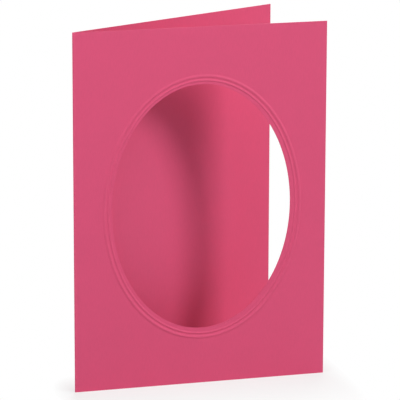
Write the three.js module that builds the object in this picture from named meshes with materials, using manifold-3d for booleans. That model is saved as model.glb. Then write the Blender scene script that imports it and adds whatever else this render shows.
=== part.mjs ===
// A passe-partout card: one sheet of dyed card, pressed, die-cut, scored and folded once.
// The front leaf has an oval window with two raised lines pressed round it. The card stands on its
// bottom edges, with the back leaf opened behind the front one.
//
// Millimetres, +Z up. The front leaf lies along X and faces -Y, with the fold at its -X edge.
// The origin is under the middle of the standing card.

import * as THREE from 'three';
import { mergeVertices } from 'three/addons/utils/BufferGeometryUtils.js';
import Module from 'manifold-3d';

const wasm = await Module();
wasm.setup();

// The sheet and its fold
const LEAF_WIDTH = 120;
const LEAF_HEIGHT = 168;
const SHEET_THICKNESS = 0.3;
const OPENING_DEGREES = 25;
const FOLD_INNER_RADIUS = 0.2;
const SCORE_RIDGE_HEIGHT = 0.15;

// The window, whose middle is off the leaf's middle by the play of the cutting die
const WINDOW_WIDTH = 85;
const WINDOW_HEIGHT = 115;
const WINDOW_SHIFT_X = 0.4;

// The pressed lines, measured outwards from the window's edge. They are pressed before the window is
// cut, so their middle is off the window's middle by the play between the two tools.
const LIP_WIDTH = 1.4;
const INNER_LINE_WIDTH = 1.45;
const INNER_LINE_HEIGHT = 0.25;
const LINE_GAP = 0.15;
const OUTER_LINE_WIDTH = 2.1;
const OUTER_LINE_HEIGHT = 0.3;
const PRESS_SHIFT_X = 0.5;
const PRESS_SHIFT_Z = -0.4;

// How finely curves are divided, and how far solids run past each other where they are joined or cut
const OVAL_STEPS = 96;
const FLANK_STEPS = 4;
const FOLD_STEPS = 12;
const OVERLAP = 1;

const opening = THREE.MathUtils.degToRad(OPENING_DEGREES);
const foldOuterRadius = FOLD_INNER_RADIUS + SHEET_THICKNESS;
const windowHalf = new THREE.Vector2(WINDOW_WIDTH / 2, WINDOW_HEIGHT / 2);
const windowCentre = new THREE.Vector2(LEAF_WIDTH / 2 + WINDOW_SHIFT_X, LEAF_HEIGHT / 2);
const pressShift = new THREE.Vector2(PRESS_SHIFT_X, PRESS_SHIFT_Z);
const pressCentre = windowCentre.clone().add(pressShift);
const pressedWidth = LIP_WIDTH + INNER_LINE_WIDTH + LINE_GAP + OUTER_LINE_WIDTH;

function toSolid(geometry) {
  geometry.deleteAttribute('normal');
  geometry.deleteAttribute('uv');
  const merged = mergeVertices(geometry);
  return new wasm.Manifold(new wasm.Mesh({
    numProp: 3,
    vertProperties: merged.attributes.position.array,
    triVerts: new Uint32Array(merged.index.array),
  }));
}

function toGeometry(solid) {
  const mesh = solid.getMesh();
  const geometry = new THREE.BufferGeometry();
  geometry.setAttribute('position', new THREE.BufferAttribute(mesh.vertProperties, 3));
  geometry.setIndex(new THREE.BufferAttribute(mesh.triVerts, 1));
  geometry.computeVertexNormals();
  return geometry;
}

// The bent sheet seen from above: two straight leaves and the bend between them. The front leaf's
// outer face lies on y = 0, and the outside of the bend touches x = 0. Inside the bend, the score
// leaves a round ridge.
function bentSheetSection() {
  const bend = new THREE.Vector2(foldOuterRadius, foldOuterRadius);
  const alongBackLeaf = new THREE.Vector2(Math.cos(opening), Math.sin(opening));
  const outOfBackLeaf = new THREE.Vector2(-alongBackLeaf.y, alongBackLeaf.x);
  const backLeafEnd = bend.clone().addScaledVector(alongBackLeaf, LEAF_WIDTH - foldOuterRadius);
  const backLeafInside = backLeafEnd.clone().addScaledVector(outOfBackLeaf, FOLD_INNER_RADIUS);
  const backLeafOutside = backLeafEnd.clone().addScaledVector(outOfBackLeaf, foldOuterRadius);
  const ridgeRadius = FOLD_INNER_RADIUS + SCORE_RIDGE_HEIGHT;
  const ridgeFlank = Math.asin(FOLD_INNER_RADIUS / ridgeRadius);

  const section = new THREE.Shape();
  section.moveTo(LEAF_WIDTH, 0);
  section.lineTo(LEAF_WIDTH, SHEET_THICKNESS);
  section.absarc(bend.x, bend.y, ridgeRadius, -ridgeFlank, opening + ridgeFlank, false);
  section.lineTo(backLeafInside.x, backLeafInside.y);
  section.lineTo(backLeafOutside.x, backLeafOutside.y);
  section.absarc(bend.x, bend.y, foldOuterRadius, opening + Math.PI / 2, -Math.PI / 2, false);
  return section;
}

function bentSheet() {
  return toSolid(new THREE.ExtrudeGeometry(bentSheetSection(), {
    depth: LEAF_HEIGHT,
    bevelEnabled: false,
    curveSegments: FOLD_STEPS / 2,
  }));
}

// A cutter through the front leaf, along Y, with an oval outline in the leaf's plane
function ovalCutter(centre, half) {
  const outline = new THREE.Shape();
  outline.absellipse(centre.x, centre.y, half.x, half.y, 0, 2 * Math.PI, false);
  const behind = SHEET_THICKNESS + OVERLAP;
  const before = Math.max(INNER_LINE_HEIGHT, OUTER_LINE_HEIGHT) + OVERLAP;
  const cutter = new THREE.ExtrudeGeometry(outline, {
    depth: before + behind,
    bevelEnabled: false,
    curveSegments: OVAL_STEPS / 2,
  });
  cutter.rotateX(Math.PI / 2);
  cutter.translate(0, behind, 0);
  return toSolid(cutter);
}

// One raised line across the profile: a smooth rise to its crest and a smooth fall
function addRaisedLine(profile, start, width, height) {
  const crest = start + width / 2;
  const end = start + width;
  const handle = width / 4;
  profile.lineTo(start, 0);
  profile.bezierCurveTo(start + handle, 0, crest - handle, -height, crest, -height);
  profile.bezierCurveTo(crest + handle, -height, end - handle, 0, end, 0);
}

// The profile across the pressed lines, as distances outwards from the pressed oval and along Y.
// The sheet keeps its thickness, so the back has a groove behind each raised line.
function pressedProfile() {
  const front = new THREE.Path();
  front.moveTo(-pressShift.length() - OVERLAP, 0);
  addRaisedLine(front, LIP_WIDTH, INNER_LINE_WIDTH, INNER_LINE_HEIGHT);
  addRaisedLine(front, pressedWidth - OUTER_LINE_WIDTH, OUTER_LINE_WIDTH, OUTER_LINE_HEIGHT);
  front.lineTo(pressedWidth + OVERLAP, 0);
  const facing = front.getPoints(FLANK_STEPS);
  const behind = facing.map((point) => new THREE.Vector2(point.x, point.y + SHEET_THICKNESS));
  return [...facing, ...behind.reverse(), facing[0]];
}

// The pressed border: its profile is turned round an axis, and each point is then moved from the
// circle to the same distance outside the oval.
function pressedBorder() {
  const turningRadius = windowHalf.x;
  const profile = pressedProfile().map((point) => new THREE.Vector2(turningRadius + point.x, point.y));
  const border = new THREE.LatheGeometry(profile, OVAL_STEPS);
  const corners = border.attributes.position;
  for (let i = 0; i < corners.count; i += 1) {
    const turn = Math.atan2(corners.getX(i), corners.getZ(i));
    const outwards = Math.hypot(corners.getX(i), corners.getZ(i)) - turningRadius;
    const onOval = new THREE.Vector2(windowHalf.x * Math.sin(turn), windowHalf.y * Math.cos(turn));
    const normal = new THREE.Vector2(windowHalf.y * Math.sin(turn), windowHalf.x * Math.cos(turn)).normalize();
    const place = onOval.addScaledVector(normal, outwards).add(pressCentre);
    corners.setXYZ(i, place.x, corners.getY(i), place.y);
  }
  return toSolid(border);
}

function foldedCard() {
  const borderMiddle = windowHalf.clone().addScalar(pressedWidth + OVERLAP / 2);
  const sheet = bentSheet()
    .subtract(ovalCutter(pressCentre, borderMiddle))
    .add(pressedBorder())
    .subtract(ovalCutter(windowCentre, windowHalf));
  const dyedCard = new THREE.MeshStandardMaterial({ color: 0xd6577a, roughness: 0.85, metalness: 0 });
  const card = new THREE.Mesh(toGeometry(sheet), dyedCard);
  card.name = 'folded_card';
  return card;
}

// The card is placed with its base on z = 0 and its middle over the origin.
const card = foldedCard();
card.geometry.computeBoundingBox();
const reach = card.geometry.boundingBox;
card.position.set(-(reach.min.x + reach.max.x) / 2, -(reach.min.y + reach.max.y) / 2, -reach.min.z);

const model = new THREE.Group();
model.add(card);

export default model;
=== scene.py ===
import math

import bmesh
import bpy
from mathutils import Matrix, Vector


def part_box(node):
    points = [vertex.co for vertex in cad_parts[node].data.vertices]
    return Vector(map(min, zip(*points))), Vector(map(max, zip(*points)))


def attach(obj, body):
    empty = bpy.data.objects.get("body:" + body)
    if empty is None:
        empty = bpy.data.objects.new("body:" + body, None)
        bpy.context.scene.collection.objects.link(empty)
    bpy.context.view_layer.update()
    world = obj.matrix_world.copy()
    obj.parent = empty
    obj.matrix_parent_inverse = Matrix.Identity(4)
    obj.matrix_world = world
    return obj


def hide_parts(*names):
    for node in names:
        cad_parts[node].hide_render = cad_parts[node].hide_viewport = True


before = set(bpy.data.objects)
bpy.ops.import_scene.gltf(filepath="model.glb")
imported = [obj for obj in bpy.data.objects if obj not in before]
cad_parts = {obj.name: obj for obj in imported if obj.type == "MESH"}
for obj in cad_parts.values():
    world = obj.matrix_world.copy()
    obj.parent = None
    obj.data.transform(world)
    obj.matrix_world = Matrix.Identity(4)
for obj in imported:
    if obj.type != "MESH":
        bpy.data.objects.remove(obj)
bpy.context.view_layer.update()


# Camera. It looks at the middle of the front leaf from the left and from above, through a long
# lens, as the photograph does.

MM = 0.001
CAMERA_TURN = math.radians(15.944)
CAMERA_DROP = math.radians(13.363)
CAMERA_ROLL = math.radians(0.129)
CAMERA_DISTANCE = 1357.7 * MM
CAMERA_LENS = 266.0
CAMERA_FAR_LIMIT = 20.0
SENSOR_WIDTH = 36.0
AIM_SIDEWAYS = -0.415 * MM
AIM_UPWARDS = 3.253 * MM
OUTER_LINE_HEIGHT = 0.3 * MM

card_low, card_high = (Vector(corner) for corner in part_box("folded_card"))
front_face_y = card_low.y + OUTER_LINE_HEIGHT
leaf_middle = Vector(((card_low.x + card_high.x) / 2, front_face_y, (card_low.z + card_high.z) / 2))

camera_turned = (Matrix.Rotation(-CAMERA_TURN, 4, "Z")
                 @ Matrix.Rotation(math.pi / 2 - CAMERA_DROP, 4, "X")
                 @ Matrix.Rotation(CAMERA_ROLL, 4, "Z"))
camera_data = bpy.data.cameras.new("studio_camera")
camera_data.lens = CAMERA_LENS
camera_data.sensor_width = SENSOR_WIDTH
camera_data.clip_end = CAMERA_FAR_LIMIT
camera = bpy.data.objects.new("studio_camera", camera_data)
camera.matrix_world = (Matrix.Translation(leaf_middle) @ camera_turned
                       @ Matrix.Translation((AIM_SIDEWAYS, AIM_UPWARDS, CAMERA_DISTANCE)))
bpy.context.scene.collection.objects.link(camera)
bpy.context.scene.camera = camera


# The card: one sheet of 0.3 mm card, dyed through in pink. Its front leaf is pressed from behind
# with two lines, the window is die-cut inside them, and the sheet is scored and folded once.

SHEET_THICKNESS = 0.3 * MM
OPENING = math.radians(25)
FOLD_INNER_RADIUS = 0.2 * MM
SCORE_RIDGE_HEIGHT = 0.15 * MM
WINDOW_HALF_WIDTH = 42.5 * MM
WINDOW_HALF_HEIGHT = 57.5 * MM
WINDOW_SHIFT = Vector((0.4, 0, 0)) * MM
PRESS_SHIFT = Vector((0.5, 0, -0.4)) * MM
LIP_WIDTH = 1.4 * MM
INNER_LINE_WIDTH = 1.45 * MM
INNER_LINE_HEIGHT = 0.25 * MM
LINE_GAP = 0.15 * MM
OUTER_LINE_WIDTH = 2.1 * MM
CUT_EDGE_ROUNDING = 0.03 * MM

# Narrow flat faces beside the pressed lines and the bend keep the shading of the leaves flat.
FLAT_MARGIN = 0.3 * MM
BEND_MARGIN = 0.6 * MM

MERGE_DISTANCE = 0.002 * MM
OVAL_STEPS = 288
LINE_STEPS = 18
BEND_STEPS = 16
CUT_EDGE_STEPS = 2
CUT_EDGE_ANGLE = math.radians(60)
CREASE_ANGLE = math.radians(16)

fold_outer_radius = FOLD_INNER_RADIUS + SHEET_THICKNESS
bend_axis = Vector((card_low.x + fold_outer_radius, front_face_y + fold_outer_radius, 0))
window_middle = leaf_middle + WINDOW_SHIFT
press_middle = window_middle + PRESS_SHIFT
fold_side = bend_axis.x + BEND_MARGIN


def raised_line(start, width, height):
    """Points across one pressed line: a smooth rise to its crest and a smooth fall."""
    shares = [step / LINE_STEPS for step in range(LINE_STEPS + 1)]
    return [(start + width * share, height * (1 - math.cos(2 * math.pi * share)) / 2) for share in shares]


def leaf_profile():
    """Distances out from the window's edge, each with how far the face stands proud there. The last
    point is the leaf's outline, which gets its own place."""
    outer_start = LIP_WIDTH + INNER_LINE_WIDTH + LINE_GAP
    rim = outer_start + OUTER_LINE_WIDTH + FLAT_MARGIN
    return ([(0, 0), (LIP_WIDTH - FLAT_MARGIN, 0)]
            + raised_line(LIP_WIDTH, INNER_LINE_WIDTH, INNER_LINE_HEIGHT)
            + raised_line(outer_start, OUTER_LINE_WIDTH, OUTER_LINE_HEIGHT)
            + [(rim, 0), (rim + FLAT_MARGIN, 0)])


def outside_oval(turn, outwards):
    """A point at a distance outside an oval of the window's size, in the leaf's plane."""
    on_oval = Vector((WINDOW_HALF_WIDTH * math.sin(turn), 0, WINDOW_HALF_HEIGHT * math.cos(turn)))
    normal = Vector((WINDOW_HALF_HEIGHT * math.sin(turn), 0, WINDOW_HALF_WIDTH * math.cos(turn)))
    return on_oval + normal.normalized() * outwards


def on_outline(turn):
    """The point of the flat leaf's straight outline that faces a turn, with a corner every quarter."""
    side = math.sin(turn)
    up = math.cos(turn)
    reach = max(abs(side), abs(up))
    half_width = (card_high.x - fold_side) / 2
    half_height = (card_high.z - card_low.z) / 2
    return Vector((fold_side + half_width * (1 + side / reach), front_face_y,
                   card_low.z + half_height * (1 + up / reach)))


def front_leaf(bm):
    """Spins the leaf's profile round the window, then draws its rings out to the window's oval, to
    the oval of the pressed lines and to the leaf's outline. Returns the edges beside the fold."""
    profile = leaf_profile()
    line = [bm.verts.new(press_middle + Vector((0, -rise, WINDOW_HALF_WIDTH + out))) for out, rise in profile]
    edges = [bm.edges.new(pair) for pair in zip(line, line[1:])]
    bmesh.ops.spin(bm, geom=line + edges, cent=press_middle, axis=(0, 1, 0), dvec=(0, 0, 0),
                   angle=2 * math.pi, steps=OVAL_STEPS, use_merge=True)
    rim_reach = profile[-1][0] - FLAT_MARGIN / 2
    beside_fold = set()
    for vert in bm.verts:
        arm = vert.co - press_middle
        turn = math.atan2(arm.x, arm.z)
        outwards = math.hypot(arm.x, arm.z) - WINDOW_HALF_WIDTH
        if outwards > rim_reach:
            vert.co = on_outline(turn)
            if vert.co.x < fold_side + MERGE_DISTANCE:
                beside_fold.add(vert)
        else:
            middle = press_middle if outwards > LIP_WIDTH / 2 else window_middle
            vert.co = middle + outside_oval(turn, outwards) + Vector((0, arm.y, 0))
    return [edge for edge in bm.edges if beside_fold.issuperset(edge.verts)]


def carry_on(bm, edges, way):
    """Extrudes the sheet's last edges by a vector and returns the new last edges."""
    grown = bmesh.ops.extrude_edge_only(bm, edges=edges)["geom"]
    verts = {item for item in grown if isinstance(item, bmesh.types.BMVert)}
    bmesh.ops.translate(bm, verts=list(verts), vec=way)
    return [item for item in grown if isinstance(item, bmesh.types.BMEdge) and verts.issuperset(item.verts)]


def fold_back_leaf(bm, side):
    """Bends the sheet round the fold and runs it on as the back leaf."""
    side = carry_on(bm, side, Vector((-BEND_MARGIN, 0, 0)))
    # Each vertex once, in the order of the edges.
    side_verts = list(dict.fromkeys(vert for edge in side for vert in edge.verts))
    bent = bmesh.ops.spin(bm, geom=side_verts + side, cent=bend_axis, axis=(0, 0, -1), dvec=(0, 0, 0),
                          angle=math.pi - OPENING, steps=BEND_STEPS)
    side = [item for item in bent["geom_last"] if isinstance(item, bmesh.types.BMEdge)]
    along = Vector((math.cos(OPENING), math.sin(OPENING), 0))
    side = carry_on(bm, side, along * BEND_MARGIN)
    carry_on(bm, side, along * (card_high.x - bend_axis.x - BEND_MARGIN))


def give_thickness(bm):
    """Thickens the sheet towards the inside of the fold, where the score leaves a round ridge."""
    bmesh.ops.remove_doubles(bm, verts=bm.verts, dist=MERGE_DISTANCE)
    bm.normal_update()
    bmesh.ops.recalc_face_normals(bm, faces=bm.faces)
    back_leaf = max(bm.faces, key=lambda face: face.calc_area())
    if back_leaf.normal.dot(Vector((-math.sin(OPENING), math.cos(OPENING), 0))) < 0:
        bmesh.ops.reverse_faces(bm, faces=bm.faces)
    bmesh.ops.solidify(bm, geom=bm.faces, thickness=SHEET_THICKNESS)
    ridge_radius = FOLD_INNER_RADIUS + SCORE_RIDGE_HEIGHT
    ridge_turn = OPENING + 2 * math.asin(FOLD_INNER_RADIUS / ridge_radius)
    out_of_fold = Vector((-math.cos(OPENING / 2), -math.sin(OPENING / 2)))
    for vert in bm.verts:
        arm = Vector((vert.co.x - bend_axis.x, vert.co.y - bend_axis.y))
        if arm.length < FOLD_INNER_RADIUS + MERGE_DISTANCE:
            share = arm.angle_signed(out_of_fold) / (math.pi - OPENING)
            angle = OPENING / 2 - share * ridge_turn
            vert.co.x = bend_axis.x + ridge_radius * math.cos(angle)
            vert.co.y = bend_axis.y + ridge_radius * math.sin(angle)


def soften_cut_edges(bm):
    """Rounds the edges that the dies cut, and shades the rest smooth."""
    bm.normal_update()
    cut = [edge for edge in bm.edges if edge.calc_face_angle(0) > CUT_EDGE_ANGLE]
    bmesh.ops.bevel(bm, geom=cut, offset=CUT_EDGE_ROUNDING, offset_type="OFFSET", segments=CUT_EDGE_STEPS,
                    affect="EDGES", profile=0.5, material=-1)
    for face in bm.faces:
        face.smooth = True
    for edge in bm.edges:
        edge.smooth = edge.calc_face_angle(0) < CREASE_ANGLE


card_bm = bmesh.new()
fold_back_leaf(card_bm, front_leaf(card_bm))
give_thickness(card_bm)
soften_cut_edges(card_bm)
card_mesh = bpy.data.meshes.new("folded_card_sheet")
card_bm.to_mesh(card_mesh)
card_bm.free()
card = bpy.data.objects.new("folded_card_sheet", card_mesh)
bpy.context.scene.collection.objects.link(card)

DYE = (0.87, 0.308, 0.472)
CLOUD_CONTRAST = 0.03
FIBRE_CONTRAST = 0.06
CLOUD_SIZE = 7.0 * MM
CLOUD_DETAIL = 4.0
FINE_DETAIL = 2.0
FIBRE_LENGTH = 2.6 * MM
FIBRE_WIDTH = 0.16 * MM
FIBRE_LEAN = math.radians(32)
TOOTH_SIZE = 0.3 * MM
TOOTH_DEPTH = 0.012 * MM
RUBBED_REACH = 0.5 * MM
RUBBED_PATCH = 1.8 * MM
RUBBED_CONTRAST = 2.0
RUBBED_LIGHTENING = 0.09
MATT = 0.75
ROUGHNESS_SPREAD = 0.1
PRESSED_POLISH = 0.1
CARD_SPECULAR = 0.5


class Wire:
    """A node's output. Sums of wires and numbers add the Math nodes that work them out."""

    def __init__(self, finish, socket):
        self.finish = finish
        self.socket = socket

    def calculate(self, operation, first, second, clamp=False):
        settings = {"operation": operation, "use_clamp": clamp}
        return self.finish.add("ShaderNodeMath", settings, {0: first, 1: second})

    def __add__(self, other):
        return self.calculate("ADD", self, other)

    __radd__ = __add__

    def __sub__(self, other):
        return self.calculate("SUBTRACT", self, other)

    def __rsub__(self, other):
        return self.calculate("SUBTRACT", other, self)

    def __mul__(self, other):
        return self.calculate("MULTIPLY", self, other)

    __rmul__ = __mul__

    def __truediv__(self, other):
        return self.calculate("DIVIDE", self, other)

    def __rtruediv__(self, other):
        return self.calculate("DIVIDE", other, self)

    def within_one(self):
        """The same value, held between 0 and 1."""
        return self.calculate("ADD", self, 0, clamp=True)


class Finish:
    """The nodes of a new material, or of the studio's world."""

    def __init__(self, owner):
        owner.use_nodes = True
        self.owner = owner
        self.tree = owner.node_tree
        self.tree.nodes.clear()

    def add(self, kind, settings, sockets, output=0):
        """Adds a node: its settings are set first, then its sockets take values or links."""
        node = self.tree.nodes.new(kind)
        for name, value in settings.items():
            setattr(node, name, value)
        for name, value in sockets.items():
            if isinstance(value, Wire):
                self.tree.links.new(value.socket, node.inputs[name])
            else:
                node.inputs[name].default_value = value
        return Wire(self, node.outputs[output]) if len(node.outputs) else None

    def vector(self, operation, first, second=(0, 0, 0), output="Vector"):
        """Vector maths on one or two places. The output "Value" is a number."""
        return self.add("ShaderNodeVectorMath", {"operation": operation}, {0: first, 1: second}, output)

    def mix(self, share, first, second):
        """Two colours mixed, by the sockets of the Mix node that are for colours."""
        return self.add("ShaderNodeMix", {"data_type": "RGBA"}, {0: share, 6: first, 7: second}, 2)

    def noise(self, place, size, detail=FINE_DETAIL):
        """Soft noise round 0, from about -0.5 to 0.5, with patches of a size."""
        level = self.add("ShaderNodeTexNoise", {}, {"Vector": place, "Scale": 1 / size, "Detail": detail})
        return level - 0.5

    def streaks(self, place, width, length, lean):
        """Noise drawn out into streaks that lie in the sheet, leaning from the upright."""
        turned = self.add("ShaderNodeMapping", {"vector_type": "POINT"}, {
            "Vector": place,
            "Rotation": (0, lean, 0),
            "Scale": (1, 1, width / length),
        })
        return self.noise(turned, width)


def linear(colour):
    """The linear values of a colour that is written as it shows on a screen."""
    return tuple(((channel + 0.055) / 1.055) ** 2.4 for channel in colour) + (1.0,)


def times(colour, factor):
    """A colour made lighter or darker as a whole."""
    return tuple(channel * factor for channel in colour[:3]) + (1.0,)


def dyed_card():
    """Pulp dyed before the sheet is formed: faint clouds, felted fibres that mostly run up the sheet,
    a fine tooth, crests that the press has smoothed and a fold whose outside is rubbed paler."""
    stock = Finish(bpy.data.materials.new("dyed_card"))
    place = stock.add("ShaderNodeTexCoord", {}, {}, "Object")
    clouds = stock.noise(place, CLOUD_SIZE, CLOUD_DETAIL)
    fibres = stock.streaks(place, FIBRE_WIDTH, FIBRE_LENGTH, FIBRE_LEAN)
    fibres = fibres + stock.streaks(place, FIBRE_WIDTH, FIBRE_LENGTH, -FIBRE_LEAN)
    tooth = stock.noise(place, TOOTH_SIZE)

    mottle = (0.5 + clouds + fibres * (FIBRE_CONTRAST / CLOUD_CONTRAST)).within_one()
    dye = linear(DYE)
    colour = stock.mix(mottle, times(dye, 1 - CLOUD_CONTRAST), times(dye, 1 + CLOUD_CONTRAST))
    from_bend = stock.vector("SUBTRACT", place, bend_axis)
    from_bend = stock.vector("MULTIPLY", from_bend, (1, 1, 0))
    from_bend = stock.vector("LENGTH", from_bend, output="Value")
    beside_fold = (1 - (from_bend - fold_outer_radius) / RUBBED_REACH).within_one()
    rubbed = (beside_fold * (0.5 + RUBBED_CONTRAST * stock.noise(place, RUBBED_PATCH))).within_one()
    colour = stock.mix(rubbed, colour, times(dye, 1 + RUBBED_LIGHTENING))

    depth = stock.add("ShaderNodeSeparateXYZ", {}, {0: place}, "Y")
    pressed = ((front_face_y - depth) / OUTER_LINE_HEIGHT).within_one()
    roughness = MATT + ROUGHNESS_SPREAD * (clouds + tooth) - PRESSED_POLISH * pressed
    relief = stock.add("ShaderNodeBump", {}, {"Height": tooth + fibres, "Distance": TOOTH_DEPTH})
    shader = stock.add("ShaderNodeBsdfPrincipled", {}, {
        "Base Color": colour,
        "Roughness": roughness,
        "Specular IOR Level": CARD_SPECULAR,
        "Normal": relief,
    })
    stock.add("ShaderNodeOutputMaterial", {}, {"Surface": shader})
    return stock.owner


card_mesh.materials.append(dyed_card())
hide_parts("folded_card")
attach(card, "root")


# Studio. A wide pale floor that the card stands on, white backdrop paper that is lit by itself, and
# soft lamps round the card. Away from the card the floor runs out into the backdrop's white.

FLOOR_SIZE = 12.0
FLOOR_PAINT = (0.8, 0.8, 0.8, 1)
WHITE = (1, 1, 1, 1)
BACKDROP_SHARE = 0.62
SHADOW_REACH_BEFORE = 60 * MM
SHADOW_REACH_BESIDE = 10 * MM
SHADOW_REACH_BEHIND = 22 * MM
AMBIENT = 0.03

floor_bm = bmesh.new()
bmesh.ops.create_grid(floor_bm, x_segments=1, y_segments=1, size=FLOOR_SIZE / 2)
floor_mesh = bpy.data.meshes.new("studio_floor")
floor_bm.to_mesh(floor_mesh)
floor_bm.free()
floor = bpy.data.objects.new("studio_floor", floor_mesh)
bpy.context.scene.collection.objects.link(floor)


def seen_directly(paint):
    """1 for what the camera, a gloss or a clear surface shows, and 0 for light that falls on things."""
    camera_ray = paint.add("ShaderNodeLightPath", {}, {}, "Is Camera Ray")
    glossy_ray = paint.add("ShaderNodeLightPath", {}, {}, "Is Glossy Ray")
    clear_ray = paint.add("ShaderNodeLightPath", {}, {}, "Is Transmission Ray")
    return (camera_ray + glossy_ray + clear_ray).within_one()


def pale_floor():
    """Matt pale paint, which keeps the card's shadow and is white in the camera's view elsewhere. The
    shadow runs on before the card, and soon fades beside it and behind the back leaf."""
    paint = Finish(bpy.data.materials.new("pale_floor"))
    place = paint.add("ShaderNodeTexCoord", {}, {}, "Object")
    sideways = paint.add("ShaderNodeSeparateXYZ", {}, {0: paint.vector("ABSOLUTE", place)}, "X")
    depth = paint.add("ShaderNodeSeparateXYZ", {}, {0: place}, "Y")
    out_of_back = (-math.sin(OPENING), math.cos(OPENING), 0)
    behind = paint.vector("DOT_PRODUCT", paint.vector("SUBTRACT", place, bend_axis), out_of_back, "Value")
    past_card = paint.add("ShaderNodeCombineXYZ", {}, {
        "X": ((sideways - card_high.x) / SHADOW_REACH_BESIDE).within_one(),
        "Y": ((card_low.y - depth) / SHADOW_REACH_BEFORE).within_one(),
        "Z": (behind / SHADOW_REACH_BEHIND).within_one(),
    })
    away = paint.vector("LENGTH", past_card, output="Value").within_one()
    share = seen_directly(paint) * (BACKDROP_SHARE + (1 - BACKDROP_SHARE) * away)
    lit = paint.add("ShaderNodeBsdfDiffuse", {}, {"Color": FLOOR_PAINT})
    backdrop = paint.add("ShaderNodeEmission", {}, {"Color": WHITE, "Strength": 1.0})
    shader = paint.add("ShaderNodeMixShader", {}, {0: share, 1: lit, 2: backdrop})
    paint.add("ShaderNodeOutputMaterial", {}, {"Surface": shader})
    return paint.owner


floor_mesh.materials.append(pale_floor())


def hang_lamp(name, turn, rise, distance, width, level):
    """Hangs a round soft lamp that faces the card. Its turn from straight in front and its rise from
    the card's middle are in degrees. At level 1 it lights a white surface that faces it to white."""
    turn = math.radians(turn)
    rise = math.radians(rise)
    towards = Vector((math.sin(turn) * math.cos(rise), -math.cos(turn) * math.cos(rise), math.sin(rise)))
    data = bpy.data.lights.new(name, "AREA")
    data.shape = "DISK"
    data.size = width
    data.energy = level * (math.pi * distance) ** 2
    lamp = bpy.data.objects.new(name, data)
    lamp.location = Vector((0, 0, leaf_middle.z)) + towards * distance
    lamp.rotation_euler = towards.to_track_quat("Z", "Y").to_euler()
    lamp.visible_camera = False
    bpy.context.scene.collection.objects.link(lamp)


hang_lamp("key_lamp", turn=53, rise=31.5, distance=1.4, width=0.46, level=0.57)
hang_lamp("fill_lamp", turn=-62, rise=30, distance=0.76, width=0.4, level=0.41)
hang_lamp("top_lamp", turn=4, rise=60, distance=0.62, width=0.42, level=0.19)
hang_lamp("back_lamp", turn=159, rise=19, distance=1.0, width=0.75, level=0.7)


def backdrop_paper():
    """Backdrop paper that shows white, with a little even light from all round."""
    surround = Finish(bpy.data.worlds.new("studio"))
    glow = surround.add("ShaderNodeBackground", {}, {"Color": WHITE, "Strength": AMBIENT})
    paper = surround.add("ShaderNodeBackground", {}, {"Color": WHITE, "Strength": 1.0})
    shader = surround.add("ShaderNodeMixShader", {}, {0: seen_directly(surround), 1: glow, 2: paper})
    surround.add("ShaderNodeOutputWorld", {}, {"Surface": shader})
    return surround.owner


bpy.context.scene.world = backdrop_paper()
bpy.context.scene.view_settings.view_transform = "Standard"
